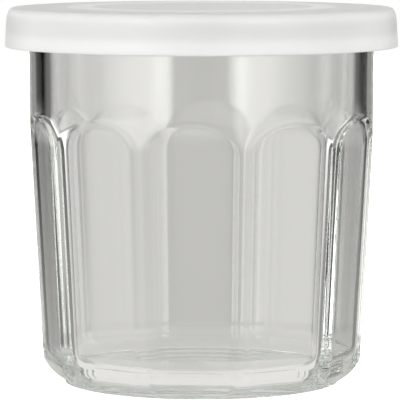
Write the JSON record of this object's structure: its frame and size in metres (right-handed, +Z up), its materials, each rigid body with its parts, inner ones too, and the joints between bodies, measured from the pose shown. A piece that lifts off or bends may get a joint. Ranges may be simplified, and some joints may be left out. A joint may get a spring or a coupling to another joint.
{
  "type": "glass storage jar with snap lid",
  "caption": "Thick clear pressed-glass storage jar with flat arched panels around its body, closed by a translucent white plastic snap lid.",
  "frame": {"origin": "centre of the circle the foot stands on, at the lowest point of the jar", "axes": "+Z up along the jar's axis, from the foot to the lid; -Y points out through the middle of one panel, the front; +X is right"},
  "size_m": [0.0966, 0.0966, 0.0929],
  "materials": {
    "clear_glass": "gloss",
    "white_lid": "satin"
  },
  "bodies": {
    "root": {"jar": "clear_glass", "lid": "white_lid"}
  },
  "joints": []
}
